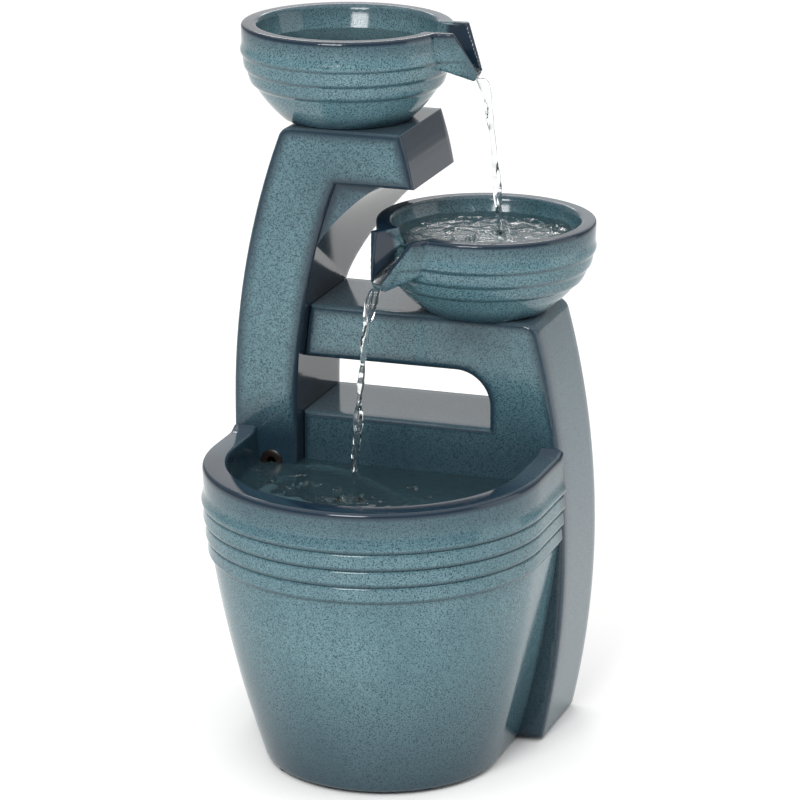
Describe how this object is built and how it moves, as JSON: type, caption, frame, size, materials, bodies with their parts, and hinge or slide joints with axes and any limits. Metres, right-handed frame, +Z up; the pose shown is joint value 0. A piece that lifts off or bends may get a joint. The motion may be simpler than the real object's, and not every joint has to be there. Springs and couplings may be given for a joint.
{
  "type": "tabletop water fountain",
  "caption": "Cascading fountain: a ribbed D-shaped basin before an arched hollow tower with two spouted bowls, and a submersible pump with its hose and fittings inside.",
  "frame": {"origin": "on the ground, under the middle of the basin's round front, on the underside of the centre foot pad", "axes": "+Z up, -Y to the basin's front, +X to the right seen from the front"},
  "size_m": [0.2024, 0.23, 0.4039],
  "materials": {
    "glazed_resin": "gloss",
    "black_plastic": "satin",
    "grey_plastic": "satin",
    "brown_rubber": "matte",
    "black_rubber": "matte",
    "clear_vinyl": "satin",
    "shaft_ceramic": "satin",
    "rotor_ferrite": "matte",
    "potting_resin": "satin"
  },
  "bodies": {
    "root": {"basin": "glazed_resin", "cable_exit_bush": "black_rubber", "cable_grommet": "brown_rubber", "foot_pad_centre": "black_rubber", "foot_pad_front_left": "black_rubber", "foot_pad_front_right": "black_rubber", "foot_pad_rear_left": "black_rubber", "foot_pad_rear_right": "black_rubber", "hose": "clear_vinyl", "hose_grommet": "brown_rubber", "inlet_fitting": "black_plastic", "inlet_nut": "black_plastic", "inlet_seal": "black_rubber", "left_base_plate": "grey_plastic", "left_tower": "glazed_resin", "mid_bowl": "glazed_resin", "outlet_adapter": "grey_plastic", "outlet_cap": "black_plastic", "pump_body": "black_plastic", "pump_cable_gland": "black_rubber", "pump_coil_pack": "potting_resin", "pump_shaft": "shaft_ceramic", "pump_volute": "black_plastic", "right_base_plate": "grey_plastic", "right_tower": "glazed_resin", "suction_cup_front_left": "clear_vinyl", "suction_cup_front_right": "clear_vinyl", "suction_cup_rear_left": "clear_vinyl", "suction_cup_rear_right": "clear_vinyl", "top_bowl": "glazed_resin"},
    "impeller": {"pump_impeller": "rotor_ferrite"},
    "strainer": {"strainer_cover": "black_plastic"},
    "flow_slider": {"flow_slider": "grey_plastic"},
    "drain_plug": {"drain_plug": "black_rubber"},
    "hatch": {"rear_hatch": "glazed_resin"}
  },
  "joints": [
    {"name": "impeller_spin", "type": "hinge", "parent": "root", "child": "impeller", "pos_m": [0, 0.014, 0.0276], "axis": [1, 0, 0], "continuous": true},
    {"name": "strainer_pull", "type": "slide", "parent": "root", "child": "strainer", "axis": [1, 0, 0], "range_m": [0, 0.02]},
    {"name": "flow_adjust", "type": "slide", "parent": "strainer", "child": "flow_slider", "axis": [0, 0, 1], "range_m": [0, 0.006]},
    {"name": "drain_plug_pull", "type": "slide", "parent": "root", "child": "drain_plug", "axis": [0, 0, 1], "range_m": [0, 0.025]},
    {"name": "hatch_pull", "type": "slide", "parent": "root", "child": "hatch", "axis": [0, 1, 0], "range_m": [0, 0.03]}
  ]
}
